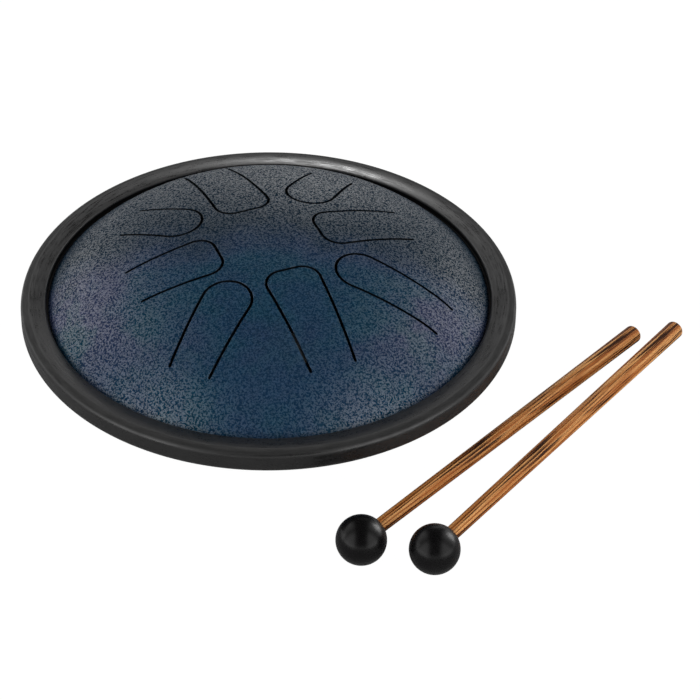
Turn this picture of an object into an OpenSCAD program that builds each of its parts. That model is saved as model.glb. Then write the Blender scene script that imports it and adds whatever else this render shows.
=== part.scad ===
// Steel tongue drum with a rubber edge ring, and a pair of rubber-headed mallets beside it.
// Millimetres, +Z up. The origin is on the drum's axis, in the plane that its feet stand on.

/* [Shells] */
// Outer diameter of the whole drum, over the edge ring
drum_d = 305; // [280:1:330]
// Height of the upper shell's crown above the seam
dome_h = 49.3; // [44:0.1:56]
// Thickness of the steel sheet
sheet_t = 1.5; // [1:0.1:2]
// Outer diameter of the two shells' flanges
flange_d = 294; // [288:1:298]
// Diameter at which the flanges' flat part starts
flange_inner_d = 277.2; // [272:0.2:282]
// Radius of the bend inside the flange
flange_bend_r = 4; // [3:0.5:5]
// Thickness of the bond between the two flanges
bond_t = 0.4; // [0.2:0.1:0.8]

/* [Lower shell] */
// Diameter of the flat base
base_flat_d = 130; // [120:1:140]
// Radius of the blend between the base and the lower shoulder
base_blend_r = 30; // [15:1:45]
// Diameter of the sound hole
sound_hole_d = 50; // [35:1:70]

/* [Tongues] */
// Width of the slots
slot_w = 1.8; // [1:0.1:2.4]
// Distance from the drum's axis to the flat tips, at the slot's middle
flat_tip_r = 32.5; // [29:0.1:36]
// Half the width of a flat-tipped tongue at its tip
flat_tip_half_w = 17.5; // [16:0.1:18.5]
// Radius of a flat tip's corners
flat_tip_corner_r = 10.7; // [6:0.1:13]
// Distance from the drum's axis to the round tips, at the slot's middle
round_tip_r = 45.8; // [43:0.1:50]
// Half the width of a round-tipped tongue at its tip
round_tip_half_w = 15.9; // [14:0.1:16.5]
// Distance from the drum's axis to the root of the shortest tongue
short_root_r = 86.4; // [84:0.1:90]
// Distance from the drum's axis to the root of the longest tongue
long_root_r = 115.2; // [108:0.1:116]

/* [Edge ring] */
// Height of the ring between its two crests
ring_h = 15.1; // [13:0.1:18]
// Radius of the ring's outer edges
ring_edge_r = 4.5; // [3:0.1:6]
// Fall of the ring's faces from the crests to the lips
ring_dip = 0.95; // [0.5:0.05:2]
// Diameter of the ring's lips
ring_lip_d = 273.6; // [270:0.2:284]
// Radius of the ring's lips
ring_lip_r = 1.2; // [0.5:0.1:1.5]
// Height of the sealing edge between the lip and the shell, above the flange
seal_t = 1.4; // [1:0.1:2.5]

/* [Feet] */
// Height of a foot below the base
foot_h = 4.75; // [3:0.25:8]
// Diameter of a foot
foot_d = 18; // [12:0.5:20]
// Distance from the drum's axis to a foot's centre
foot_place_r = 54; // [46:0.5:55]
// Diameter of a foot's stem
stem_d = 5.9; // [4:0.1:8]
// Diameter of the head that holds the stem in its hole
stem_head_d = 8; // [6.5:0.1:10]

/* [Mallets] */
// Diameter of a mallet's head
head_d = 30; // [26:0.5:34]
// Length of a mallet from the middle of its head to its tail
mallet_l = 269.5; // [220:0.5:320]
// Diameter of the shaft at the head
shaft_head_d = 8.9; // [7:0.1:10]
// Diameter of the shaft at the tail
shaft_tail_d = 11.3; // [9:0.1:13]
// Depth of the shaft past the middle of the head
shaft_past = 6; // [3:0.5:9]
// Radius of the shaft's tail edge
tail_edge_r = 1.2; // [0.5:0.1:2]

/* [Hidden] */
$fn = 96;

// Clearances: round pieces in their bores, rubber past the flange's edge, tongues at their roots,
// and the ring's sealing edges over the shells' bends
fit_gap = 0.05;
channel_gap = 0.3;
root_gap = 0.05;
seal_gap = 0.1;
// How far a cutting solid runs past what it cuts
overrun = 1;

// Eight tongues, flat and round tips in turn, the first half a step from +X
tongue_count = 8;
tongue_step = 360 / tongue_count;
// A tongue narrows towards its root by this share of its length
flat_taper_share = 0.045;
round_taper_share = 0.044;
// Where each root lies between the shortest tongue's and the longest one's
root_shares = [0.1, 0.28, 0.75, 0.25, 0, 0.79, 0.61, 1];
// Each tip's distance from the axis as a share of that for its kind, since the slots are cut unevenly
tip_shares = [1, 1.035, 1.05, 1.01, 1, 0.955, 0.95, 0.995];
// How far each tongue is turned from its even place round the axis
tongue_offsets = [0.5, -0.5, 1, 0, -0.5, -1, 0.5, 0.5];

foot_count = 4;
foot_step = 360 / foot_count;
// Chamfer on a foot's bottom edge, and the shape of the head on its stem
foot_chamfer = 0.8;
stem_head_h = 3;
stem_tip_share = 0.55;

// Turn of each step in an arc that is drawn with points, and of those along the flatter arcs
arc_step = 7.5;
crown_step = 1.5;
bend_step = 4;
flank_step = 2.5;
tip_step = 10;
slot_end_step = 30;

// Places of the mallets' heads beside the drum, and the directions of their shafts
mallet_places = [[58.7, -182.5], [101.1, -189.4]];
mallet_turns = [50.6, 54.85];

// The dome's arcs from the crown to the knuckle: how far out each reaches, as shares of the distance
// to the flange's bend, and their radii, as shares of that of a plain spherical dome of this height
crown_reach_share = 0.433;
shoulder_reach_share = 0.765;
knuckle_reach_share = 0.808;
crown_r_share = 1.54;
shoulder_r_share = 0.975;
knuckle_r_share = 0.257;

ring_r = drum_d / 2;
flange_r = flange_d / 2;
lip_r = ring_lip_d / 2;

// The crown, the shoulder, the knuckle, a flank and the flange's bend touch one another in turn.
// Heights are counted from the seam, and each angle is where the arc before it ends.
flange_top = bond_t / 2 + sheet_t;
bend_cz = flange_top + flange_bend_r;
bend_cr = flange_inner_d / 2;
plain_r = pow(bend_cr, 2) / (2 * dome_h);
crown_r = crown_r_share * plain_r;
shoulder_r = shoulder_r_share * plain_r;
knuckle_r = knuckle_r_share * plain_r;
crown_cz = dome_h - crown_r;
crown_end = acos(crown_reach_share * bend_cr / crown_r);
shoulder_cr = (crown_r - shoulder_r) * cos(crown_end);
shoulder_cz = crown_cz + (crown_r - shoulder_r) * sin(crown_end);
shoulder_end = acos((shoulder_reach_share * bend_cr - shoulder_cr) / shoulder_r);
knuckle_cr = shoulder_cr + (shoulder_r - knuckle_r) * cos(shoulder_end);
knuckle_cz = shoulder_cz + (shoulder_r - knuckle_r) * sin(shoulder_end);
knuckle_end = acos((knuckle_reach_share * bend_cr - knuckle_cr) / knuckle_r);

// The flank's radius is the one that starts at the knuckle's end and touches the bend
flank_way = [cos(knuckle_end), sin(knuckle_end)];
bend_reach = [bend_cr, bend_cz] - [knuckle_cr, knuckle_cz] - knuckle_r * flank_way;
flank_r = (bend_reach * bend_reach - pow(flange_bend_r, 2))
    / (2 * (flange_bend_r - bend_reach * flank_way));
flank_cr = knuckle_cr + (knuckle_r - flank_r) * flank_way.x;
flank_cz = knuckle_cz + (knuckle_r - flank_r) * flank_way.y;
flank_end = atan2(bend_cz - flank_cz, bend_cr - flank_cr);

// The lower shell is flattened inside a blend that touches its shoulder
base_flat_r = base_flat_d / 2;
blend_cz = shoulder_cz
    + sqrt(pow(shoulder_r - base_blend_r, 2) - pow(base_flat_r - shoulder_cr, 2));
blend_end = atan2(blend_cz - shoulder_cz, base_flat_r - shoulder_cr);
base_depth = blend_cz + base_blend_r;
seam_z = foot_h + base_depth;

// Stem hole, and the top of the ring's sealing edge
stem_hole_r = stem_d / 2 + fit_gap;
seal_z = flange_top + seal_t;

// The ring's faces touch the rounding of its outer edges and that of its lips
ring_edge_centre = [ring_r - ring_edge_r, ring_h / 2 - ring_edge_r];
ring_lip_centre = [lip_r + ring_lip_r, ring_h / 2 - ring_dip - ring_lip_r];
ring_way = ring_edge_centre - ring_lip_centre;
ring_slope = atan2(ring_way.y, ring_way.x) + asin((ring_edge_r - ring_lip_r) / norm(ring_way));

// The shaft leans down from the middle of the head to the tail's edge on the floor
head_r = head_d / 2;
shaft_lean = asin((head_r - shaft_tail_d / 2) / (mallet_l - tail_edge_r));

shell_colour = [0.13, 0.24, 0.33];
rubber_colour = [0.13, 0.13, 0.14];
bond_colour = [0.55, 0.56, 0.58];
wood_colour = [0.66, 0.43, 0.24];

function polar(r, a) = r * [cos(a), sin(a)];
function reversed(points) = [for (i = [len(points) - 1:-1:0]) points[i]];

// Points along an arc at about the given step, from its first point or from the one after it
function arc(centre, r, from, to, step = arc_step, first = 0) =
    let (count = ceil(abs(to - from) / step))
    [for (i = [first:count]) centre + polar(r, from + (to - from) * i / count)];

// A sheet's face at a depth below its outer one, over the knuckle, the flank and the bend to the
// flange's edge
function rim_face(depth) = concat(
    arc([knuckle_cr, knuckle_cz], knuckle_r - depth, shoulder_end, knuckle_end, bend_step, 1),
    arc([flank_cr, flank_cz], flank_r - depth, knuckle_end, flank_end, flank_step, 1),
    arc([bend_cr, bend_cz], flange_bend_r + depth, 180 + flank_end, 270, first = 1),
    [[flange_r, flange_top - depth]]);

function upper_face(depth) = concat(
    arc([0, crown_cz], crown_r - depth, 90, crown_end, crown_step),
    arc([shoulder_cr, shoulder_cz], shoulder_r - depth, crown_end, shoulder_end, crown_step, 1),
    rim_face(depth));

function lower_face(depth) = concat(
    [[0, base_depth - depth]],
    arc([base_flat_r, blend_cz], base_blend_r - depth, 90, blend_end),
    arc([shoulder_cr, shoulder_cz], shoulder_r - depth, blend_end, shoulder_end, crown_step, 1),
    rim_face(depth));

module upper_pressing() {
    translate([0, 0, seam_z])
        rotate_extrude()
            polygon(concat(upper_face(0), reversed(upper_face(sheet_t))));
}

module lower_pressing() {
    translate([0, 0, seam_z])
        mirror([0, 0, 1])
            rotate_extrude()
                polygon(concat(lower_face(0), reversed(lower_face(sheet_t))));
}

function tongue_turn(i) = (i + 0.5) * tongue_step + tongue_offsets[i];
function is_flat(i) = i % 2 == 0;
function tip_r(i) = tip_shares[i] * (is_flat(i) ? flat_tip_r : round_tip_r);
function tip_half_w(i) = is_flat(i) ? flat_tip_half_w : round_tip_half_w;
function taper_share(i) = is_flat(i) ? flat_taper_share : round_taper_share;
function taper_turn(i) = atan(taper_share(i));
function root_r(i) = short_root_r + root_shares[i] * (long_root_r - short_root_r);
function half_w(i, r) = tip_half_w(i) - taper_share(i) * (r - tip_r(i));
// A round tip's corner radius is the one that brings both corners' centres together
function corner_r(i) = is_flat(i) ? flat_tip_corner_r
    : tip_half_w(i) * cos(taper_turn(i)) / (1 + taper_share(i) * cos(taper_turn(i)));
function corner_y(i) = is_flat(i)
    ? half_w(i, tip_r(i) + corner_r(i)) - corner_r(i) / cos(taper_turn(i)) : 0;

// Tongue's edge along +X from the middle of its tip round the +Y corner, grown by g
function tip_edge(i, g) = arc([tip_r(i) + corner_r(i), corner_y(i)], corner_r(i) + g, 180,
                              90 - taper_turn(i), tip_step, is_flat(i) ? 0 : 1);
function mirrored(points) = [for (point = reversed(points)) [point.x, -point.y]];
function tip_middle(i, g) = is_flat(i) ? [] : [[tip_r(i) - g, 0]];

// The tongue is cut straight at its root
module tongue_outline(i) {
    root = root_r(i) - root_gap;
    edge = concat(tip_edge(i, -slot_w / 2),
                  [[root, half_w(i, root) - slot_w / 2 / cos(taper_turn(i))]]);
    polygon(concat(mirrored(edge), tip_middle(i, -slot_w / 2), edge));
}

// What the slots open in the shell: the tongue with its slot, and the slot's two round ends
module tongue_window(i) {
    slot_end = [root_r(i), half_w(i, root_r(i))];
    edge = concat(tip_edge(i, slot_w / 2),
                  arc(slot_end, slot_w / 2, 90 - taper_turn(i), -90, slot_end_step));
    polygon(concat(mirrored(edge), tip_middle(i, slot_w / 2), edge));
}

module upright(i) {
    translate([0, 0, seam_z])
        rotate([0, 0, tongue_turn(i)])
            linear_extrude(height = dome_h + overrun)
                children();
}

module upper_shell() {
    color(shell_colour)
        difference() {
            upper_pressing();
            for (i = [0:tongue_count - 1])
                upright(i)
                    tongue_window(i);
        }
}

module tongue(i) {
    color(shell_colour)
        intersection() {
            upper_pressing();
            upright(i)
                tongue_outline(i);
        }
}

module foot_place(i) {
    rotate([0, 0, (i + 0.5) * foot_step])
        translate([foot_place_r, 0, 0])
            children();
}

module lower_shell() {
    color(shell_colour)
        difference() {
            lower_pressing();
            translate([0, 0, foot_h - overrun])
                cylinder(h = sheet_t + 2 * overrun, d = sound_hole_d);
            for (i = [0:foot_count - 1])
                foot_place(i)
                    translate([0, 0, foot_h - overrun])
                        cylinder(h = sheet_t + 2 * overrun, r = stem_hole_r);
        }
}

module seam_bond() {
    color(bond_colour)
        translate([0, 0, seam_z - bond_t / 2])
            difference() {
                cylinder(h = bond_t, r = flange_r - bond_t);
                translate([0, 0, -overrun])
                    cylinder(h = bond_t + 2 * overrun, r = bend_cr + bond_t);
            }
}

// Upper half of the ring's section, from its outer edge over the crest and the lip, down the groove
// to the sealing edge, along the shell's flank and bend, and out to the flange's channel
function ring_half() = concat(
    arc(ring_edge_centre, ring_edge_r, 0, 90 + ring_slope),
    arc(ring_lip_centre, ring_lip_r, 90 + ring_slope, 180),
    [[lip_r, seal_z],
     [flank_cr + sqrt(pow(flank_r + seal_gap, 2) - pow(seal_z - flank_cz, 2)), seal_z]],
    arc([bend_cr, bend_cz], flange_bend_r - seal_gap, 180 + flank_end, 270),
    [[bend_cr + channel_gap, flange_top + seal_gap],
     [bend_cr + channel_gap, flange_top],
     [flange_r + channel_gap, flange_top]]);

module edge_ring() {
    half = ring_half();
    color(rubber_colour)
        translate([0, 0, seam_z])
            rotate_extrude()
                polygon(concat(half, [for (point = reversed(half)) [point.x, -point.y]]));
}

module foot(i) {
    stem_top = foot_h + sheet_t;
    foot_r = foot_d / 2;
    stem_head_r = stem_head_d / 2;
    color(rubber_colour)
        foot_place(i)
            rotate_extrude()
                polygon([[0, 0], [foot_r - foot_chamfer, 0], [foot_r, foot_chamfer],
                         [foot_r, foot_h], [stem_d / 2, foot_h], [stem_d / 2, stem_top],
                         [stem_head_r, stem_top],
                         [stem_head_r * stem_tip_share, stem_top + stem_head_h],
                         [0, stem_top + stem_head_h]]);
}

// Puts a mallet's head on the floor at its place, with +Z along the shaft towards the tail
module mallet_place(i) {
    translate([mallet_places[i].x, mallet_places[i].y, head_r])
        rotate([0, 90 + shaft_lean, mallet_turns[i]])
            children();
}

module mallet_head(i) {
    color(rubber_colour)
        mallet_place(i)
            difference() {
                sphere(r = head_r);
                translate([0, 0, -shaft_past])
                    cylinder(h = shaft_past + head_r + overrun, r = shaft_head_d / 2 + fit_gap);
            }
}

module mallet_shaft(i) {
    tail_r = shaft_tail_d / 2;
    color(wood_colour)
        mallet_place(i)
            rotate_extrude()
                polygon(concat([[0, -shaft_past], [shaft_head_d / 2, -shaft_past],
                                [shaft_head_d / 2, head_r]],
                               arc([tail_r - tail_edge_r, mallet_l - tail_edge_r],
                                   tail_edge_r, 0, 90),
                               [[0, mallet_l]]));
}

upper_shell();
lower_shell();
seam_bond();
edge_ring();
tongue(0);  // tongue_1
tongue(1);  // tongue_2
tongue(2);  // tongue_3
tongue(3);  // tongue_4
tongue(4);  // tongue_5
tongue(5);  // tongue_6
tongue(6);  // tongue_7
tongue(7);  // tongue_8
foot(0);  // foot_1
foot(1);  // foot_2
foot(2);  // foot_3
foot(3);  // foot_4
mallet_head(0);  // mallet_1_head
mallet_shaft(0);  // mallet_1_shaft
mallet_head(1);  // mallet_2_head
mallet_shaft(1);  // mallet_2_shaft
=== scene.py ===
import math

import bmesh
import bpy
import numpy as np
from mathutils import Matrix, Vector, geometry


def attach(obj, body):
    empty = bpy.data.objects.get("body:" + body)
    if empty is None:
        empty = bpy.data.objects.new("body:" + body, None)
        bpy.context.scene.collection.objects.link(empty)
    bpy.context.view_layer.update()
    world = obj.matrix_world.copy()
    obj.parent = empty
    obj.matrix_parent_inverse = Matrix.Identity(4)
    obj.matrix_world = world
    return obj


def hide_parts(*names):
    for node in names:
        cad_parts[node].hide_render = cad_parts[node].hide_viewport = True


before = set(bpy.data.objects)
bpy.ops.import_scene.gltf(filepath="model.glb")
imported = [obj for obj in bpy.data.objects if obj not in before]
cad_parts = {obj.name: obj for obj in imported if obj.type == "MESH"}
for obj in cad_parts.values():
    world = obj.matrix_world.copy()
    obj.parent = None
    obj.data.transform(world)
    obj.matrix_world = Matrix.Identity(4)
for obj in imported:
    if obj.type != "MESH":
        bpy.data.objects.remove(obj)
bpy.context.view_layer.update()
mm = 0.001
tiny = 1e-6

# Sizes in millimetres, as in the part's source. Heights of the shells count from the seam.
shell = {
    "domeH": 49.3, "flangeD": 294, "flangeInnerD": 277.2, "bendR": 4, "sheet": 1.5, "bond": 0.4,
    "reachShares": (0.433, 0.765, 0.808), "radiusShares": (1.54, 0.975, 0.257),
    "baseFlatD": 130, "baseBlendR": 30, "soundHoleD": 50, "holeEdgeR": 0.5, "flangeEdgeR": 0.3, "footH": 4.75,
}
tongues = {
    "count": 8, "slotW": 1.8, "flatTipR": 32.5, "flatHalfW": 17.5, "flatCornerR": 10.7,
    "flatTaper": 0.045, "roundTipR": 45.8, "roundHalfW": 15.9, "roundTaper": 0.044,
    "shortRoot": 86.4, "longRoot": 115.2,
    "rootShares": [0.1, 0.28, 0.75, 0.25, 0, 0.79, 0.61, 1],
    "tipShares": [1, 1.035, 1.05, 1.01, 1, 0.955, 0.95, 0.995],
    "turns": [0.5, -0.5, 1, 0, -0.5, -1, 0.5, 0.5],
}
ring = {
    "drumD": 305, "height": 15.1, "edgeR": 4.5, "dip": 0.95, "lipD": 273.6, "lipR": 1.2,
    "seal": 1.4, "sealGap": 0.1, "sealCorner": (0.6, 0.15), "channelGap": 0.3, "shadeShare": 0.75,
    "topShares": (0.03, 0.2, 0.5, 0.8, 0.97), "wallShares": (0.3, 0.9),
}
feet = {
    "count": 4, "d": 18, "h": 4.75, "placeR": 54, "stemD": 5.9, "headD": 8, "headH": 3, "dish": 0.35,
    "rimIn": 3.2, "toeR": 1.2, "topR": 0.5, "headEdge": (0.2, 0.5), "tipShare": 0.55, "tipEdge": (0.3, 0.4),
}
mallets = {
    "headD": 30, "length": 269.5, "shaftHeadD": 8.9, "shaftTailD": 11.3, "past": 6, "edgeR": 1.2,
    "boreGap": 0.05, "mouthR": 0.6, "neckEdge": 0.3, "endBand": 1, "shaftSteps": 12,
    "places": [(58.7, -182.5), (101.1, -189.4)], "turns": [50.6, 54.85],
}
mesh = {
    "grid": 2.2, "clear": 0.9, "plateR": 119, "around": 360, "edgeR": 0.22, "edgeSteps": 4, "rootGap": 0.02,
    "tipStep": 5, "sideStep": 2.2, "rootSteps": 12, "rimSteps": 4, "flankStep": 0.8, "bendStep": 6,
    "blendStep": 1.5, "lowerStep": 1, "holeBand": 2, "holeTurns": (0.5, 1.05), "slack": 0.02, "same": 1e-4,
}


def addObject(name, data):
    piece = bpy.data.objects.new(name, data)
    bpy.context.scene.collection.objects.link(piece)
    return piece


def polar(radius, angle, centre=(0, 0)):
    return centre[0] + radius * math.cos(angle), centre[1] + radius * math.sin(angle)


# Sections

class Arc:
    def __init__(self, centre, radius, start, end, sign=1):
        self.centre, self.radius, self.sign = centre, radius, sign
        self.start, self.end = start, end

    def point(self, angle, depth=0):
        return polar(self.radius - self.sign * depth, math.radians(angle), self.centre)

    def normal(self, angle):
        return polar(self.sign, math.radians(angle))

    def angles(self, step, first=0):
        count = max(1, math.ceil(abs(self.end - self.start) / step))
        return [self.start + (self.end - self.start) * k / count for k in range(first, count + 1)]

    def at(self, r, depth):
        rad = self.radius - self.sign * depth
        share = max(-1, min(1, (r - self.centre[0]) / rad))
        angle = math.degrees(math.acos(share))
        return angle if self.sign > 0 else 360 - angle


# Crown, shoulder, knuckle, flank and flange bend, each touching the next
def sheetArcs():
    bendC = Vector((shell["flangeInnerD"] / 2, shell["bond"] / 2 + shell["sheet"] + shell["bendR"]))
    plainR = bendC.x ** 2 / (2 * shell["domeH"])
    arcs, centre, radius, start = [], Vector((0, shell["domeH"])), 0, 90
    for reach, share in zip(shell["reachShares"], shell["radiusShares"]):
        step = radius - share * plainR
        centre, radius = centre + Vector(polar(1, math.radians(start))) * step, share * plainR
        end = math.degrees(math.acos((reach * bendC.x - centre.x) / radius))
        arcs.append(Arc(tuple(centre), radius, start, end))
        start = end
    way = Vector(polar(1, math.radians(start)))
    reach = bendC - centre - radius * way
    flankR = (reach.dot(reach) - shell["bendR"] ** 2) / (2 * (shell["bendR"] - reach.dot(way)))
    centre = centre + (radius - flankR) * way
    end = math.degrees(math.atan2(bendC.y - centre.y, bendC.x - centre.x))
    bend = Arc(tuple(bendC), shell["bendR"], 180 + end, 270, -1)
    return arcs + [Arc(tuple(centre), flankR, start, end), bend]


crownArc, shoulderArc, knuckleArc, flankArc, bendArc = sheetArcs()
flangeTop = shell["bond"] / 2 + shell["sheet"]
blendCz = shoulderArc.centre[1] + math.sqrt(
    (shoulderArc.radius - shell["baseBlendR"]) ** 2 - (shell["baseFlatD"] / 2 - shoulderArc.centre[0]) ** 2)
baseDepth = blendCz + shell["baseBlendR"]
seamZ = shell["footH"] + baseDepth


# Height and slope of the upper shell's outer face, or of one at a depth below it
def domeAt(r, depth=0):
    for arc in (crownArc, shoulderArc, knuckleArc, flankArc, bendArc):
        if r <= arc.point(arc.end, depth)[0]:
            angle = arc.at(r, depth)
            return arc.point(angle, depth)[1], arc.normal(angle)
    return flangeTop - depth, (0, 1)


# Slots and tongues, drawn along +X and then turned to their places

def tongueSizes(i):
    flat = i % 2 == 0
    kind = "flat" if flat else "round"
    tip = tongues["tipShares"][i] * tongues[kind + "TipR"]
    half, taper = tongues[kind + "HalfW"], tongues[kind + "Taper"]
    lean = math.atan(taper)
    corner = tongues["flatCornerR"] if flat else half * math.cos(lean) / (1 + taper * math.cos(lean))
    cy = half - taper * corner - corner / math.cos(lean) if flat else 0
    root = tongues["shortRoot"] + tongues["rootShares"][i] * (tongues["longRoot"] - tongues["shortRoot"])
    return tip, half, taper, lean, corner, (tip + corner, cy), root


# One side of an outline from the tip's middle to the root, at a gap outside the slot's middle line.
# The points count the same for every gap, so that rows of them can be joined.
def sideEdge(i, gap, root, window):
    tip, half, taper, lean, corner, centre, _ = tongueSizes(i)
    flatCount = max(1, round(2 * centre[1] / mesh["sideStep"])) // 2
    points = []
    if centre[1]:
        points = [(tip - gap, centre[1] * k / (flatCount + 1)) for k in range(1, flatCount + 1)]
    sweep = 90 + math.degrees(lean)
    count = math.ceil(sweep / mesh["tipStep"])
    for k in range(0 if centre[1] else 1, count + 1):
        points.append(polar(corner + gap, math.radians(180 - sweep * k / count), centre))
    rootY = half - taper * (root - tip)
    if window:
        sideEnd = (root + gap * math.sin(lean), rootY + gap * math.cos(lean))
    else:
        sideEnd = (root, rootY + gap / math.cos(lean))
    last = points[-1]
    sideCount = round((root - centre[0]) / mesh["sideStep"])
    for k in range(1, sideCount):
        points.append(tuple(a + (b - a) * k / sideCount for a, b in zip(last, sideEnd)))
    if window:
        start, steps = math.degrees(lean), mesh["rootSteps"]
        for k in range(0, steps + 1):
            points.append(polar(gap, math.radians(90 - start - (180 - start) * k / steps), (root, rootY)))
    else:
        points.append(sideEnd)
    return points


def outline(i, gap, window):
    tip, half, taper, _, _, _, root = tongueSizes(i)
    if not window:
        root -= mesh["rootGap"]
    side = sideEdge(i, gap, root, window)
    count = round(2 * (half - taper * (root - tip)) / mesh["sideStep"])
    across = [(root, side[-1][1] * (1 - 2 * k / count)) for k in range(1, count)]
    points = [(tip - gap, 0)] + side + across + [(x, -y) for x, y in reversed(side)]
    turn = math.radians((i + 0.5) * 360 / tongues["count"] + tongues["turns"][i])
    cos, sin = math.cos(turn), math.sin(turn)
    return [(x * cos - y * sin, x * sin + y * cos) for x, y in points]


def insidePolygon(points, polygon):
    poly = np.array(polygon)
    x, y = points[:, 0:1], points[:, 1:2]
    ax, ay = poly[:, 0], poly[:, 1]
    bx, by = np.roll(ax, -1), np.roll(ay, -1)
    crosses = (ay > y) != (by > y)
    with np.errstate(divide="ignore", invalid="ignore"):
        at = ax + (y - ay) * (bx - ax) / (by - ay)
    return (crosses & (x < at)).sum(axis=1) % 2 == 1


def gapTo(points, polygon):
    poly = np.array(polygon)
    return np.sqrt(((points[:, None, :] - poly[None]) ** 2).sum(axis=2)).min(axis=1)


def polarGrid():
    points = [(0.0, 0.0)]
    rings = round(mesh["plateR"] / mesh["grid"])
    for k in range(1, rings):
        r = mesh["plateR"] * k / rings
        count = round(2 * math.pi * r / mesh["grid"])
        points += [polar(r, 2 * math.pi * (j + k % 2 / 2) / count) for j in range(count)]
    return np.array(points)


# Rounded edge rows of an outline: where each lies, how far it drops, and the turn of its normal
def edgeRows(i, window):
    half, r, rows = tongues["slotW"] / 2, mesh["edgeR"], []
    for k in range(mesh["edgeSteps"] + 1):
        t = math.pi / 2 * k / mesh["edgeSteps"]
        gap = half + r * (1 - math.sin(t))
        rows.append((outline(i, gap if window else -gap, window), r * (1 - math.cos(t)), t))
    return rows


faceKinds = ("face", "edge", "inner", "wall")


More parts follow.
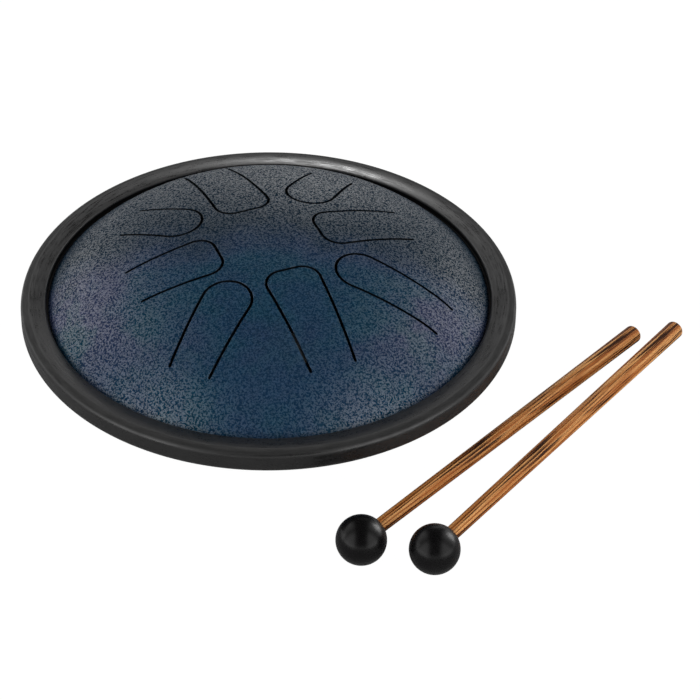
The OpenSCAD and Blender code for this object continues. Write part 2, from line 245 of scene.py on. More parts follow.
# A sheet between the dome's two faces, with a loop of rows round each cut edge
class Sheet:
    def __init__(self):
        self.bm = bmesh.new()
        self.kind = self.bm.faces.layers.int.new("kind")
        self.normals = {"face": {}, "edge": {}, "inner": {}}

    def vert(self, x, y, z, **normals):
        v = self.bm.verts.new((x * mm, y * mm, (seamZ + z) * mm))
        for name, n in normals.items():
            self.normals[name][v] = n
        return v

    def face(self, verts, kind):
        if len(set(verts)) > 2:
            face = self.bm.faces.new(verts)
            face[self.kind] = faceKinds.index(kind)
            face.smooth = True

    def domeVert(self, x, y, depth=0, drop=0, turn=0, way=(0, 0)):
        r = math.hypot(x, y)
        z, n = domeAt(r, depth)
        cos, sin = (x / r, y / r) if r else (1, 0)
        up = Vector((n[0] * cos, n[0] * sin, n[1]))
        side = Vector((way[0], way[1], 0))
        edge = (up * math.cos(turn) + side * math.sin(turn)).normalized()
        return self.vert(x, y, z - drop, face=up, edge=edge, inner=-up)

    def plate(self, grid, loops, keep):
        points, edges = [tuple(p) for p in grid], []
        for rows in loops:
            start, count = len(points), len(rows[0][0])
            points += rows[0][0]
            edges += [(start + k, start + (k + 1) % count) for k in range(count)]
        spots = [Vector(p) for p in points]
        flat, _, tris, origin, _, _ = geometry.delaunay_2d_cdt(spots, edges, [], 0, tiny)
        outNames = {source: k for k, sources in enumerate(origin) for source in sources}
        centres = np.array([[sum(flat[v][a] for v in t) / 3 for a in (0, 1)] for t in tris])
        kept = [t for t, good in zip(tris, keep(centres)) if good]
        used = {v for t in kept for v in t}
        top = {v: self.domeVert(flat[v].x, flat[v].y) for v in used}
        low, start = {}, len(grid)
        for rows in loops:
            first, last = rows[0][0], rows[-1][0]
            count, edged = len(first), len(rows) > 1
            names = [outNames[start + k] for k in range(count)]
            strip = [[top[v] for v in names]]
            ways = [Vector((b[0] - a[0], b[1] - a[1])) for a, b in zip(first, last)]
            ways = [way.normalized() if way.length > tiny else Vector((0, 0)) for way in ways]
            for line, drop, turn in rows[1:]:
                strip.append([self.domeVert(*spot, 0, drop, turn, way) for spot, way in zip(line, ways)])
            bottom = [self.domeVert(*spot, shell["sheet"]) for spot in last]
            low.update(zip(names, bottom))
            if edged:
                for v in strip[0]:
                    self.normals["edge"][v] = self.normals["face"][v]
                for v, way in zip(bottom, ways):
                    self.normals["edge"][v] = way.to_3d() if way.length else -self.normals["inner"][v]
                strip.append(bottom)
                for a, b in zip(strip[:-1], strip[1:]):
                    for k in range(count):
                        j = (k + 1) % count
                        self.face([a[k], a[j], b[j], b[k]], "wall" if b is bottom else "edge")
            start += count
        for v in used - set(low):
            low[v] = self.domeVert(flat[v].x, flat[v].y, shell["sheet"])
        for t in kept:
            self.face([top[v] for v in t], "face")
            self.face([low[v] for v in reversed(t)], "inner")
        return outNames, top, low

    # Rows from the plate's rim over the flank, the bend and the flange, and back underneath
    def rim(self, topRing, lowRing):
        count, outer = len(topRing), []
        first = flankArc.at(mesh["plateR"], 0)
        arcs = (flankArc, first, mesh["flankStep"]), (bendArc, bendArc.start, mesh["bendStep"])
        for arc, start, step in arcs:
            steps = math.ceil(abs(arc.end - start) / step)
            outer += [(arc, start + (arc.end - start) * k / steps) for k in range(1, steps + 1)]
        profile = [(arc.point(a), arc.normal(a), "face") for arc, a in outer]
        flangeR, edge = shell["flangeD"] / 2, shell["flangeEdgeR"]
        profile += [((flangeR - edge * 2, flangeTop), (0, 1), "face")]
        for k in range(0, mesh["rimSteps"] + 1):
            t = math.pi / 2 * k / mesh["rimSteps"]
            profile.append(((flangeR - edge * (1 - math.sin(t)), flangeTop - edge * (1 - math.cos(t))),
                            (math.sin(t), math.cos(t)), "edge"))
        under = flangeTop - shell["sheet"]
        profile += [((flangeR, under), (1, 0), "edge"), ((flangeR - edge, under), (0, -1), "inner")]
        for arc, a in reversed(outer):
            profile.append((arc.point(a, shell["sheet"]), tuple(-c for c in arc.normal(a)), "inner"))
        previous = topRing
        for (r, z), (nr, nz), kind in profile:
            row = []
            for j in range(count):
                a = 2 * math.pi * j / count
                n = Vector((*polar(nr, a), nz))
                row.append(self.vert(*polar(r, a), z, face=n, edge=n, inner=n))
            for j in range(count):
                i = (j + 1) % count
                self.face([previous[j], row[j], row[i], previous[i]], kind)
            previous = row
        for j in range(count):
            i = (j + 1) % count
            self.face([previous[j], lowRing[j], lowRing[i], previous[i]], "inner")

    def finish(self, name):
        bmesh.ops.recalc_face_normals(self.bm, faces=self.bm.faces)
        data = bpy.data.meshes.new(name)
        self.bm.verts.index_update()
        table = {key: {v.index: n for v, n in rows.items()} for key, rows in self.normals.items()}
        table["wall"] = table["edge"]
        kinds = [faceKinds[face[self.kind]] for face in self.bm.faces]
        self.bm.to_mesh(data)
        self.bm.free()
        custom = [Vector((0, 0, 1))] * len(data.loops)
        for poly, kind in zip(data.polygons, kinds):
            # Slot walls below the rounded edge take the painted-shade material
            poly.material_index = int(kind == "wall")
            for li in poly.loop_indices:
                custom[li] = table[kind][data.loops[li].vertex_index]
        data.normals_split_custom_set(custom)
        data.attributes.remove(data.attributes["kind"])
        return addObject(name, data)


# Solids of revolution from a closed profile of (r, z) points in millimetres
def turned(name, profile, place=None, count=128, sharp=35):
    bm = bmesh.new()
    verts = [bm.verts.new((max(r, 0) * mm, 0, z * mm)) for r, z in profile]
    closed = profile[0][0] > tiny or profile[-1][0] > tiny
    pairs = list(zip(verts, verts[1:])) + ([(verts[-1], verts[0])] if closed else [])
    edges = [bm.edges.new(pair) for pair in pairs]
    bmesh.ops.spin(bm, geom=verts + edges, cent=(0, 0, 0), axis=(0, 0, 1), angle=2 * math.pi, steps=count,
                   use_duplicate=False)
    bmesh.ops.remove_doubles(bm, verts=bm.verts, dist=1e-7)
    bmesh.ops.recalc_face_normals(bm, faces=bm.faces)
    for face in bm.faces:
        face.smooth = True
    data = bpy.data.meshes.new(name)
    local = bm.verts.layers.float_vector.new("local")
    for v in bm.verts:
        v[local] = v.co
    if place:
        bmesh.ops.transform(bm, matrix=place, verts=bm.verts)
    bm.to_mesh(data)
    bm.free()
    data.set_sharp_from_angle(angle=math.radians(sharp))
    return addObject(name, data)


def arcPoints(centre, radius, start, end, step=7.5, first=0):
    arc = Arc(centre, radius, start, end)
    return [arc.point(a) for a in arc.angles(step, first)]


# Camera: the photograph's view, solved from the ring's ellipses and the slots

camera = {
    "elevation": 38.789, "roll": 0.9, "distance": 1939.5, "focal": 3147.65, "aim": (268.93, 295.39),
    "middle": 350, "width": 700, "sensor": 36, "planeZ": seamZ + 5.25, "clip": (0.05, 60),
}


def makeCamera():
    tilt, roll = math.radians(camera["elevation"]), math.radians(camera["roll"])
    right, ahead = Vector((1, 0, 0)), Vector((0, math.cos(tilt), -math.sin(tilt)))
    down = ahead.cross(right)
    axisX = right * math.cos(roll) - down * math.sin(roll)
    axisY = right * math.sin(roll) + down * math.cos(roll)
    offsets = [(v - camera["middle"]) / camera["focal"] * camera["distance"] for v in camera["aim"]]
    shift = Vector(offsets + [camera["distance"]])
    eye = -(axisX * shift.x + axisY * shift.y + ahead * shift.z) + Vector((0, 0, camera["planeZ"]))
    data = bpy.data.cameras.new("photoCamera")
    data.sensor_width = camera["sensor"]
    data.lens = camera["focal"] / camera["width"] * camera["sensor"]
    data.clip_start, data.clip_end = camera["clip"]
    obj = addObject("photoCamera", data)
    rotation = Matrix((axisX, -axisY, -ahead)).transposed().to_4x4()
    obj.matrix_world = Matrix.Translation(eye * mm) @ rotation
    bpy.context.scene.camera = obj
    print("camera at", [round(v, 4) for v in eye * mm], "lens", round(data.lens, 2))


makeCamera()


# Shader maths

def feed(tree, socket, value):
    if isinstance(value, Field):
        tree.links.new(value.socket, socket)
    else:
        socket.default_value = (*value, 1) if socket.type == "RGBA" else value


class Field:
    def __init__(self, tree, socket):
        self.tree, self.socket = tree, socket

    def node(self, kind, values, output=0, **settings):
        node = self.tree.nodes.new("ShaderNode" + kind)
        for key, value in settings.items():
            setattr(node, key, value)
        for key, value in values:
            feed(self.tree, node.inputs[key], value)
        return Field(self.tree, node.outputs[output])

    def math(self, operation, *others):
        return self.node("Math", enumerate((self,) + others), operation=operation)

    def __add__(self, other):
        return self.math("ADD", other)

    def __sub__(self, other):
        return self.math("SUBTRACT", other)

    def __mul__(self, other):
        return self.math("MULTIPLY", other)

    def __pow__(self, other):
        return self.math("POWER", other)

    def ramp(self, low, high, outLow=0.0, outHigh=1.0, smooth=True):
        values = enumerate((self, low, high, outLow, outHigh))
        return self.node("MapRange", values, interpolation_type="SMOOTHSTEP" if smooth else "LINEAR")

    def mix(self, a, b):
        return self.node("Mix", ((0, self), (6, a), (7, b)), 2, data_type="RGBA")

    def mixNumber(self, a, b):
        return self.node("Mix", ((0, self), (2, a), (3, b)))

    def axes(self):
        node = self.tree.nodes.new("ShaderNodeSeparateXYZ")
        feed(self.tree, node.inputs[0], self)
        return [Field(self.tree, out) for out in node.outputs]

    def stretch(self, scale):
        return self.node("Mapping", (("Vector", self), ("Scale", scale)))

    def noise(self, scale, detail=3, roughness=0.55, output=0):
        values = (("Vector", self), ("Scale", scale), ("Detail", detail), ("Roughness", roughness))
        return self.node("TexNoise", values, output)

    def warp(self, scale, amount):
        push = self.noise(scale, 2, output="Color")
        return push.node("VectorMath", ((0, push), (1, (amount,) * 3), (2, self)), operation="MULTIPLY_ADD")

    def bump(self, distance, strength=1.0, under=None):
        values = [("Strength", strength), ("Distance", distance), ("Height", self)]
        return self.node("Bump", values + ([("Normal", under)] if under else []))


class Shader:
    def __init__(self, name):
        self.material = bpy.data.materials.new(name)
        self.material.use_nodes = True
        self.tree = self.material.node_tree
        self.surface = self.tree.nodes["Principled BSDF"]

    def place(self, attribute=None):
        node = self.tree.nodes.new("ShaderNodeAttribute" if attribute else "ShaderNodeTexCoord")
        if attribute:
            node.attribute_name = attribute
        return Field(self.tree, node.outputs["Vector" if attribute else "Object"])

    def finish(self, colour, roughness, normal, **others):
        values = {"Base_Color": colour, "Roughness": roughness, "Normal": normal, **others}
        for name, value in values.items():
            feed(self.tree, self.surface.inputs[name.replace("_", " ")], value)
        return self.material


paint = {
    "navy": (0.0135, 0.068, 0.148), "teal": (0.01, 0.078, 0.144), "violet": (0.044, 0.062, 0.16),
    # slate is painted shade for the back half; pit is painted shade for the wrinkles' pits
    "green": (0.014, 0.094, 0.128), "shadeSlate": (0.006, 0.03, 0.058), "pitShade": (0.001, 0.009, 0.022),
}


# Numbers of the paint. A pattern's row is its scale in waves a metre, its detail and its roughness. The
# height's row is the shares of web, grain and pits.
wrinkle = {
    "bend": (260, 0.0016), "web": (600, 2, 0.55), "webWidth": 0.09, "grain": (1150, 3, 0.65),
    "pits": (780, 2, 0.5), "pitRange": (0.37, 0.54), "height": (0.5, 0.4, 0.4), "depth": 0.0005,
    "webShare": 0.35, "grainRange": (0.35, 0.65), "toneRange": (0.0, 0.7, 0.45, 1),
    "patch": (17, 2, 0.5), "spot": (38, 3, 0.6), "sway": (0.06, 0.02), "rightSway": 0.15, "rimSway": 0.05,
    "tealSpot": (0.38, 0.62), "front": (-0.11, -0.05, 0.2, 1), "shadeSlateEdge": (0.02, 0.06),
    "violetPatch": (0.42, 0.58), "violetFrom": (0.09, 0.13), "shadeVioletEdge": (0.015, 0.035), "shadeVioletShare": 0.5,
    "greenSpot": (0.52, 0.68), "greenFrom": (0.1, 0.14), "greenShare": 0.6,
    "roughness": (0, 0.8, 0.8, 0.5), "gloss": (0.16, 0.44, 0.0, 1.0), "coatRough": 0.38, "coatIOR": 1.82,
    "spec": 0.05,
}


# Wrinkle powder coat: a web of fine ridges with dark pits; the lighter ridges and darker pits are painted
# light
# and shade. It is blue, with violet and green patches towards the rim. The back half is painted shade:
# slate, with a violet band between it and the blue front.
def wrinklePaint():
    shader, look = Shader("wrinklePaint"), wrinkle
    place = shader.place()
    x, y, _ = place.axes()
    radius = (x * x + y * y) ** 0.5
    bent = place.warp(*look["bend"])
    web = (bent.noise(*look["web"]) - 0.5).math("ABSOLUTE").ramp(0.0, look["webWidth"], 1, 0)
    grain = bent.noise(*look["grain"])
    pits = bent.noise(*look["pits"]).ramp(*look["pitRange"])
    height = web * look["height"][0] + grain * look["height"][1] + pits * look["height"][2]
    patch, spot = place.noise(*look["patch"]), place.noise(*look["spot"])
    wide, front = radius + patch * look["rimSway"], y.ramp(*look["front"])
    base = spot.ramp(*look["tealSpot"]).mix(paint["navy"], paint["teal"])
    violet = patch.ramp(*look["violetPatch"]) * wide.ramp(*look["violetFrom"]) * front
    base = violet.mix(base, paint["violet"])
    green = spot.ramp(*look["greenSpot"]) * wide.ramp(*look["greenFrom"]) * front * look["greenShare"]
    base = green.mix(base, paint["green"])
    # Painted shade: behind a wavy line just past the middle, which reaches further forward on the right, the
    # paint darkens through a violet band to slate
    across = y + patch * look["sway"][0] + spot * look["sway"][1] + x.math("MAXIMUM", 0.0) * look["rightSway"]
    base = (across.ramp(*look["shadeVioletEdge"]) * look["shadeVioletShare"]).mix(base, paint["violet"])
    base = across.ramp(*look["shadeSlateEdge"]).mix(base, paint["shadeSlate"])
    # Painted light and shade of the wrinkles: the web's ridges and high grain lighter, the pits darker
    # towards the pit shade, mixed with random grain tone
    tone = (web * look["webShare"] + grain.ramp(*look["grainRange"]) * (1 - look["webShare"])) * pits
    colour = tone.ramp(*look["toneRange"], False).mix(paint["pitShade"], base)
    return shader.finish(colour, tone.ramp(*look["roughness"]), height.bump(look["depth"]), Metallic=0.0,
                         Coat_Weight=tone.ramp(*look["gloss"], False), Specular_IOR_Level=look["spec"],
                         Coat_Roughness=look["coatRough"], Coat_IOR=look["coatIOR"])


def tinted(tone, share):
    return tuple(c * share for c in tone)


speckRange = (0.3, 0.7)


def speckled(name, tones, scale, roughness, depth, spec=0.5):
    shader = Shader(name)
    speck = shader.place().noise(scale)
    colour = speck.ramp(*speckRange).mix(*tones)
    roughness = speck.ramp(*speckRange, *roughness)
    return shader.finish(colour, roughness, speck.bump(depth, strength=0.5), Specular_IOR_Level=spec)


# Painted shade on what lies deep in the slots and in the ring's groove: dull and dark
def shadeMaterial(name, tone):
    tones = (tinted(tone, 0.7), tone)
    return speckled(name, tones, scale=800, roughness=(0.85, 0.95), depth=0.00005, spec=0.08)


# The speckle of each rubber, then the marks of the ring's mould round the drum's axis. The ring's outer
# rounding is rougher and darkened with painted shade, and tips further out.
mould = {
    "speck": (4, 0.65), "cloud": (45, 3, 0.6), "toneShares": (0.6, 0.4), "roughShares": (0.5, 0.5),
    "tints": (0.75, 1.25), "roughSpread": 0.06, "strength": 0.6, "streakRange": (0.35, 0.65),
    "lean": 0.7, "along": 0.01, "streak": (1100, 3, 0.6), "streakRough": 0.07, "speckShare": 0.4,
    "streakShare": 0.8, "roundingFrom": (0.1465, 0.1485), "roundingTo": (0.1519, 0.1508),
    "roundingShade": 0.3, "roundingRough": 0.4, "tipFrom": 0.1475, "tip": -16.0,
}


def rubber(name, tone, grain, rough, depth, lines=False, spec=0.5):
    shader, look = Shader(name), mould
    place = shader.place()
    speck, cloud = place.noise(grain, *look["speck"]), place.noise(*look["cloud"])
    shares = (look["toneShares"], look["roughShares"])
    toneMix, roughMix = (speck * first + cloud * second for first, second in shares)
    colour = toneMix.ramp(*speckRange).mix(*(tinted(tone, share) for share in look["tints"]))
    roughness = roughMix.ramp(*speckRange, rough - look["roughSpread"], rough + look["roughSpread"])
    height, rounded = speck, None
    if lines:
        x, y, z = place.axes()
        radius = (x * x + y * y) ** 0.5
        turn = [axis.math("DIVIDE", radius) * look["along"] for axis in (x, y)]
        spot = place.node("CombineXYZ", enumerate((radius + z * look["lean"], *turn)))
        streak = spot.noise(*look["streak"])
        rounding = radius.ramp(*look["roundingFrom"]) * radius.ramp(*look["roundingTo"])
        roughness = roughness + streak.ramp(*look["streakRange"], -look["streakRough"], look["streakRough"])
        roughness = roughness + rounding * look["roundingRough"]
        height = speck * look["speckShare"] + streak * look["streakShare"]
        # Painted shade: the outer rounding darkened to a third of the rubber's tone
        colour = rounding.mix(colour, tinted(tone, look["roundingShade"]))
        away = (radius - look["tipFrom"]).math("MINIMUM", 0.0)
        rounded = (away * away * look["tip"]).bump(1.0)
    return shader.finish(colour, roughness, height.bump(depth, look["strength"], rounded),
                         Specular_IOR_Level=spec)


# Each pattern of the wood is its stretch along the shaft, then its noise
wood = {
    "light": (0.95, 0.47, 0.165), "warm": (0.5, 0.15, 0.028), "dark": (0.03, 0.007, 0.002),
    "bend": (0.1, (60, 0.003)), "band": (0.2, (430, 3, 0.6)), "streak": (0.1, (950, 3, 0.6)),
    "pore": (0.05, (2200, 2, 0.6)), "patch": (0.15, (130, 2)),
    "warmRange": (0.36, 0.58), "shares": (0.65, 0.3, 0.4), "darkRange": (0.67, 0.75), "darkShare": 0.97,
    "poreRange": (0.55, 0.7), "poreShare": 0.3, "poreHeight": (0.5, 0.8, 1, 0), "height": (0.5, 0.5),
    "roughness": (0, 1, 0.45, 0.55), "depth": 0.0001, "strength": 0.5, "spec": 0.14,
}


# Striped hardwood, in the mallet's own space: +Z runs along the shaft
def woodMaterial():
    shader = Shader("malletWood")
    place = shader.place("local")
    bent = place.stretch((1, 1, wood["bend"][0])).warp(*wood["bend"][1])
    band, streak = (bent.stretch((1, 1, wood[name][0])).noise(*wood[name][1]) for name in ("band", "streak"))
    pore, patch = (place.stretch((1, 1, wood[name][0])).noise(*wood[name][1]) for name in ("pore", "patch"))
    shares, heights = wood["shares"], wood["height"]
    base = band.ramp(*wood["warmRange"]).mix(wood["light"], wood["warm"])
    dark = (streak * shares[0] + band * shares[1] + patch * shares[2]).ramp(*wood["darkRange"])
    colour = (dark * wood["darkShare"]).mix(base, wood["dark"])
    colour = (pore.ramp(*wood["poreRange"]) * wood["poreShare"]).mix(colour, wood["dark"])
    height = pore.ramp(*wood["poreHeight"]) * heights[0] + streak * heights[1]
    return shader.finish(colour, dark.ramp(*wood["roughness"]), height.bump(wood["depth"], wood["strength"]),
                         Specular_IOR_Level=wood["spec"])


materials = {
    "wrinkle_paint": wrinklePaint(),
    "edge_rubber": rubber("edgeRubber", tone=(0.013, 0.0128, 0.013), grain=900, rough=0.34, depth=0.00006,
                          lines=True, spec=0.52),
    "groove": shadeMaterial("grooveShadeRubber", (0.006, 0.006, 0.006)),
    "slot_wall_shade": shadeMaterial("slotWallShade", (0.004, 0.006, 0.009)),
    "foot_rubber": rubber("footRubber", tone=(0.012, 0.012, 0.012), grain=700, rough=0.6, depth=0.00015),
    "mallet_rubber": rubber("malletRubber", tone=(0.0045, 0.0042, 0.0045), grain=800, rough=0.27,
                            depth=0.00003, spec=0.2),
    "bond": speckled("bond", tones=((0.32, 0.33, 0.35), (0.42, 0.43, 0.45)), scale=300,
                     roughness=(0.5, 0.65), depth=0.0001),
    "mallet_wood": woodMaterial(),
}
print("materials", len(materials))


def dress(piece, body, slotName, *nodes, deep=None):
    for name in (slotName, deep) if deep else (slotName,):
        piece.data.materials.append(materials[name])
    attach(piece, body)
    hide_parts(*nodes)


# Upper shell and tongues

def buildUpper():
    grid = polarGrid()
    windows = [edgeRows(i, True) for i in range(tongues["count"])]
    good = np.ones(len(grid), bool)
    for rows in windows:
        good &= ~insidePolygon(grid, rows[0][0]) & (gapTo(grid, rows[0][0]) > mesh["clear"])
    good &= np.hypot(grid[:, 0], grid[:, 1]) < mesh["plateR"] - mesh["clear"]
    count = mesh["around"]
    circle = [polar(mesh["plateR"], 2 * math.pi * k / count) for k in range(count)]
    sheet = Sheet()
    loops = windows + [[(circle, 0, 0)]]

    def outsideSlots(centres):
        out = np.ones(len(centres), bool)
        for rows in windows:
            out &= ~insidePolygon(centres, rows[0][0])
        return out

    names, top, low = sheet.plate(grid[good], loops, outsideSlots)
    start = int(good.sum()) + sum(len(rows[0][0]) for rows in windows)
    ringNames = [names[start + k] for k in range(count)]
    sheet.rim([top[v] for v in ringNames], [low[v] for v in ringNames])
    dress(sheet.finish("upperShell"), "drum", "wrinkle_paint", "upper_shell", deep="slot_wall_shade")
    for i in range(tongues["count"]):
        rows = edgeRows(i, False)
        inside = insidePolygon(grid, rows[0][0]) & (gapTo(grid, rows[0][0]) > mesh["clear"])
        sheet = Sheet()
        sheet.plate(grid[inside], [rows], lambda centres: insidePolygon(centres, rows[0][0]))
        name = f"tongue_{i + 1}"
        dress(sheet.finish(f"tongue{i + 1}"), name, "wrinkle_paint", name, deep="slot_wall_shade")


buildUpper()
print("upper shell and tongues")


# Lower shell. The edge of its sound hole is rounded.

def buildLower():
    sheet, hole, edge = shell["sheet"], shell["soundHoleD"] / 2, shell["holeEdgeR"]
    flatR, flangeEdge = shell["baseFlatD"] / 2, shell["flangeEdgeR"]
    blend = Arc((flatR, blendCz), shell["baseBlendR"], 90, 0)
    blend.end = math.degrees(math.atan2(blendCz - shoulderArc.centre[1], flatR - shoulderArc.centre[0]))
    fine, turns = mesh["lowerStep"], mesh["holeTurns"]
    arcs = [(blend, blend.start, mesh["blendStep"]), (shoulderArc, blend.end, fine),
            (knuckleArc, knuckleArc.start, fine), (flankArc, flankArc.start, fine),
            (bendArc, bendArc.start, mesh["bendStep"])]
    flangeR, band = shell["flangeD"] / 2, hole + mesh["holeBand"]
    outer, inner = [(hole + edge, baseDepth), (band, baseDepth)], []
    for arc, start, step in arcs:
        count = max(1, math.ceil(abs(arc.end - start) / step))
        for k in range(count + 1):
            a = start + (arc.end - start) * k / count
            outer.append(arc.point(a))
            inner.append(arc.point(a, sheet))
    outer += [(flangeR - 2 * flangeEdge, flangeTop), (flangeR - flangeEdge, flangeTop),
              (flangeR, flangeTop - flangeEdge)]
    inner = [(hole + edge, baseDepth - sheet), (band, baseDepth - sheet)] + inner
    inner.append((flangeR, flangeTop - sheet))
    lip = [(hole + edge - edge * math.sin(a), baseDepth - sheet + edge - edge * math.cos(a))
           for a in (*turns, math.pi / 2)]
    lip += [(hole + edge - edge * math.cos(a), baseDepth - edge + edge * math.sin(a)) for a in (0, *turns)]
    points = outer + list(reversed(inner)) + lip
    clean = [points[0]]
    for p in points[1:]:
        if math.dist(p, clean[-1]) > mesh["same"]:
            clean.append(p)
    piece = turned("lowerShell", [(r, seamZ - z) for r, z in clean], count=240, sharp=40)
    dress(piece, "drum", "wrinkle_paint", "lower_shell")


buildLower()
print("lower shell")


# Rubber edge ring

def buildRing():
    ringR, lipR, half = ring["drumD"] / 2, ring["lipD"] / 2, ring["height"] / 2
    edgeC = Vector((ringR - ring["edgeR"], half - ring["edgeR"]))
    lipC = Vector((lipR + ring["lipR"], half - ring["dip"] - ring["lipR"]))
    way = edgeC - lipC
    slope = math.degrees(math.atan2(way.y, way.x) + math.asin((ring["edgeR"] - ring["lipR"]) / way.length))
    points = arcPoints(edgeC, ring["edgeR"], 0, 90 + slope, step=5)
    lipPoints = arcPoints(lipC, ring["lipR"], 90 + slope, 180, step=8)
    last, first = points[-1], lipPoints[0]
    points += [tuple(a + (b - a) * k for a, b in zip(last, first)) for k in ring["topShares"]]
    points += lipPoints
    sealZ = flangeTop + ring["seal"]
    sealR = flankArc.centre[0] + math.sqrt(
        (flankArc.radius + ring["sealGap"]) ** 2 - (sealZ - flankArc.centre[1]) ** 2)
    far, near = ring["sealCorner"]
    points += [(lipR, sealZ + far), (lipR - near, sealZ + near), (lipR - far, sealZ), (sealR, sealZ)]
    points += arcPoints(bendArc.centre, shell["bendR"] - ring["sealGap"], bendArc.start, 270)
    channel = shell["flangeD"] / 2 + ring["channelGap"]
    points += [(bendArc.centre[0] + ring["channelGap"], flangeTop + ring["sealGap"]),
               (bendArc.centre[0] + ring["channelGap"], flangeTop), (channel, flangeTop)]
    profile = [(ringR, edgeC.y * k) for k in ring["wallShares"]] + points
    profile = profile + [(r, -z) for r, z in reversed(profile)]
    piece = turned("edgeRing", [(r, seamZ + z) for r, z in profile], count=288, sharp=50)
    dress(piece, "drum", "edge_rubber", "edge_ring", deep="groove")
    # Faces down in the groove take the painted-shade rubber
    deepZ = half - ring["dip"] - ring["lipR"] * ring["shadeShare"]
    for face in piece.data.polygons:
        r, z = math.hypot(face.center.x, face.center.y) / mm, abs(face.center.z / mm - seamZ)
        if r < lipR + mesh["slack"] and flangeTop < z < deepZ:
            face.material_index = 1


buildRing()
print("edge ring")


def buildFeet():
    r, h, dish, toe, edge = feet["d"] / 2, feet["h"], feet["dish"], feet["toeR"], feet["topR"]
    stem, headR = feet["stemD"] / 2, feet["headD"] / 2
    (inset, rise), (bulge, drop) = feet["headEdge"], feet["tipEdge"]
    low, tipR = h + shell["sheet"], headR * feet["tipShare"]
    top = low + feet["headH"]
    profile = [(0, dish), (r - feet["rimIn"], dish), (r - feet["rimIn"] + toe / 2, 0.0), (r - toe, 0)]
    profile += arcPoints((r - toe, toe), toe, -90, 0, step=15, first=1)
    profile += arcPoints((r - edge, h - edge), edge, 0, 90, step=22.5)
    profile += [(stem, h), (stem, low), (headR, low), (headR - inset, low + rise),
                (tipR + bulge, top - drop), (tipR - inset, top), (0, top)]
    for i in range(feet["count"]):
        turn = math.radians((i + 0.5) * 360 / feet["count"])
        place = Matrix.Translation((*polar(feet["placeR"] * mm, turn), 0))
        piece = turned(f"footPad{i + 1}", profile, place, count=64, sharp=40)
        dress(piece, "drum", "foot_rubber", f"foot_{i + 1}")


buildFeet()


def malletPlace(i):
    rise = mallets["headD"] / 2 - mallets["shaftTailD"] / 2
    lean = math.asin(rise / (mallets["length"] - mallets["edgeR"]))
    place = Vector((*mallets["places"][i], mallets["headD"] / 2)) * mm
    return (Matrix.Translation(place) @ Matrix.Rotation(math.radians(mallets["turns"][i]), 4, "Z")
            @ Matrix.Rotation(math.pi / 2 + lean, 4, "Y"))


def buildMallets():
    headR, bore = mallets["headD"] / 2, mallets["shaftHeadD"] / 2 + mallets["boreGap"]
    lip, past, neckEdge = mallets["mouthR"], mallets["past"], mallets["neckEdge"]
    # The bore's mouth is rounded into the ball
    mouthR = headR - lip
    mouthZ = math.sqrt(mouthR ** 2 - (bore + lip) ** 2)
    start = math.degrees(math.atan2(mouthZ, bore + lip))
    ball = arcPoints((0, 0), headR, -90, start, step=3)
    mouth = arcPoints((bore + lip, mouthZ), lip, start, 180, step=20, first=1)
    head = [(0, -headR)] + ball[1:] + mouth + [(bore, -past), (0, -past)]
    tailR, edge = mallets["shaftTailD"] / 2, mallets["edgeR"]
    neck = mallets["shaftHeadD"] / 2
    shaft = [(0, -past), (neck - neckEdge, -past), (neck, -past + neckEdge)]
    shaft.append((neck, headR))
    tip = arcPoints((tailR - edge, mallets["length"] - edge), edge, 0, 90, step=15)
    steps = mallets["shaftSteps"]
    for k in range(1, steps):
        shaft.append(tuple(a + (b - a) * k / steps for a, b in zip((neck, headR), tip[0])))
    shaft += tip + [(tailR - edge - mallets["endBand"], mallets["length"]), (0, mallets["length"])]
    for i in range(len(mallets["places"])):
        place = malletPlace(i)
        piece = turned(f"malletHead{i + 1}", head, place, count=128, sharp=60)
        dress(piece, f"mallet_{i + 1}", "mallet_rubber", f"mallet_{i + 1}_head")
        piece = turned(f"malletShaft{i + 1}", shaft, place, count=64, sharp=60)
        dress(piece, f"mallet_{i + 1}", "mallet_wood", f"mallet_{i + 1}_shaft")


buildMallets()
print("feet and mallets")

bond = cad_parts["seam_bond"].data.materials
bond.clear()
bond.append(materials["bond"])


# Floor, backdrop and lights. Rows of four are ramps: from, to, and what they give at either end.

studio = {
    "floorSize": 8, "paper": (0, 0.2, 0.6, 0.97), "paperRough": 0.9, "glow": 1.04, "glowShare": 0.96,
    "under": (0.06, 0.1), "white": 1.02, "base": 0.02,
    "sides": (0.36, 0.58), "sidesBack": (0, 0.4, 0.5, 1.4), "sidesFront": (-0.05, -0.35, 0, 1.4),
    "back": (0.82, 1, 0, 1.8), "backMiddle": 0.08, "backSide": (0.02, 0.3, 1, 0.45),
    "stripTop": (0.3, 0.02), "stripSide": (0.25, -0.2, 0, 1.3),
}


# White paper, a little grey in front. It glows for the camera alone, except close under the drum.
def buildFloor():
    bm = bmesh.new()
    bmesh.ops.create_grid(bm, x_segments=4, y_segments=4, size=studio["floorSize"])
    data = bpy.data.meshes.new("floor")
    bm.to_mesh(data)
    bm.free()
    shader = Shader("floorPaper")
    place, tree = shader.place(), shader.tree
    feed(tree, shader.surface.inputs["Base Color"], place.axes()[1].ramp(*studio["paper"]))
    shader.surface.inputs["Roughness"].default_value = studio["paperRough"]
    shader.surface.inputs["Specular IOR Level"].default_value = 0.0
    glow, path, mix = (tree.nodes.new("ShaderNode" + kind) for kind in ("Emission", "LightPath", "MixShader"))
    glow.inputs["Strength"].default_value = studio["glow"]
    under = place.node("VectorMath", ((0, place),), "Value", operation="LENGTH").ramp(*studio["under"])
    seen = Field(tree, path.outputs["Is Camera Ray"])
    feed(tree, mix.inputs[0], under * seen * studio["glowShare"])
    tree.links.new(shader.surface.outputs[0], mix.inputs[1])
    tree.links.new(glow.outputs[0], mix.inputs[2])
    tree.links.new(mix.outputs[0], tree.nodes["Material Output"].inputs["Surface"])
    data.materials.append(shader.material)
    addObject("floor", data)


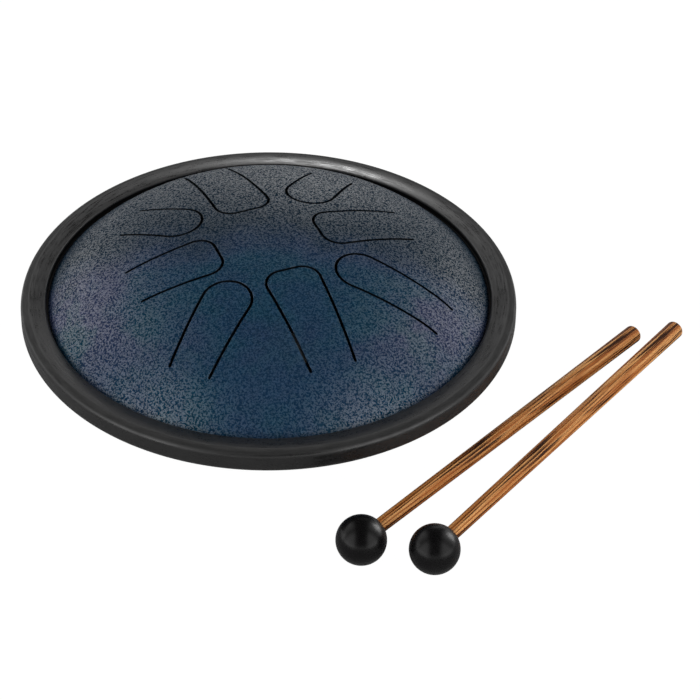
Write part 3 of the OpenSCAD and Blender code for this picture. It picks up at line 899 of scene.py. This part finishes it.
# The camera sees white. Everything else sees a dark room with a soft box on either side, weakest beside
# the drum, a glow behind it and a bright strip low in front of it.
def buildWorld():
    world = bpy.data.worlds.new("studio")
    world.use_nodes = True
    tree = world.node_tree
    bg = tree.nodes["Background"]
    coords, path = (tree.nodes.new("ShaderNode" + kind) for kind in ("TexCoord", "LightPath"))
    x, y, z = Field(tree, coords.outputs["Generated"]).axes()
    sides = x.math("ABSOLUTE").ramp(*studio["sides"], smooth=False)
    sides = sides * (y.ramp(*studio["sidesBack"]) + y.ramp(*studio["sidesFront"]))
    back = (x - studio["backMiddle"]).math("ABSOLUTE").ramp(*studio["backSide"])
    back = y.ramp(*studio["back"], smooth=False) * back
    strip = z.ramp(*studio["stripTop"]) * y.ramp(*studio["stripSide"])
    seen = Field(tree, path.outputs["Is Camera Ray"])
    bg.inputs["Color"].default_value = (1, 1, 1, 1)
    feed(tree, bg.inputs["Strength"], seen.mixNumber(sides + back + strip + studio["base"], studio["white"]))
    bpy.context.scene.world = world


# Each lamp lights only the pieces in its row
lights = {
    "sheen": {"place": (-0.18, 0.74, 1.63), "aim": (0, 0, 0.05), "size": (0.15, 0.15), "power": 11,
              "lit": ("edgeRing",)},
    "ballRight": {"place": (1.06, 0.54, 0.44), "aim": (0.08, -0.19, 0.015), "size": (0.5, 0.6), "power": 6,
                  "lit": ("malletHead1", "malletHead2")},
    "ballLeft": {"place": (-1.2, -0.06, 0.2), "aim": (0.08, -0.19, 0.015), "size": (0.3, 0.6), "power": 0.9,
                 "lit": ("malletHead1", "malletHead2")},
}


def buildLights():
    for name, light in lights.items():
        data = bpy.data.lights.new(name, "AREA")
        data.shape = "RECTANGLE"
        data.size, data.size_y = light["size"]
        data.energy = light["power"]
        lamp = addObject(name, data)
        lamp.location = light["place"]
        lamp.rotation_mode = "QUATERNION"
        lamp.rotation_quaternion = (Vector(light["aim"]) - Vector(light["place"])).to_track_quat("-Z", "Y")
        lit = bpy.data.collections.new(name + "Receivers")
        for piece in light["lit"]:
            lit.objects.link(bpy.data.objects[piece])
        lamp.light_linking.receiver_collection = lit
        lamp.visible_camera = False


buildFloor()
buildWorld()
buildLights()
bpy.context.scene.view_settings.view_transform = "Standard"
print("studio")
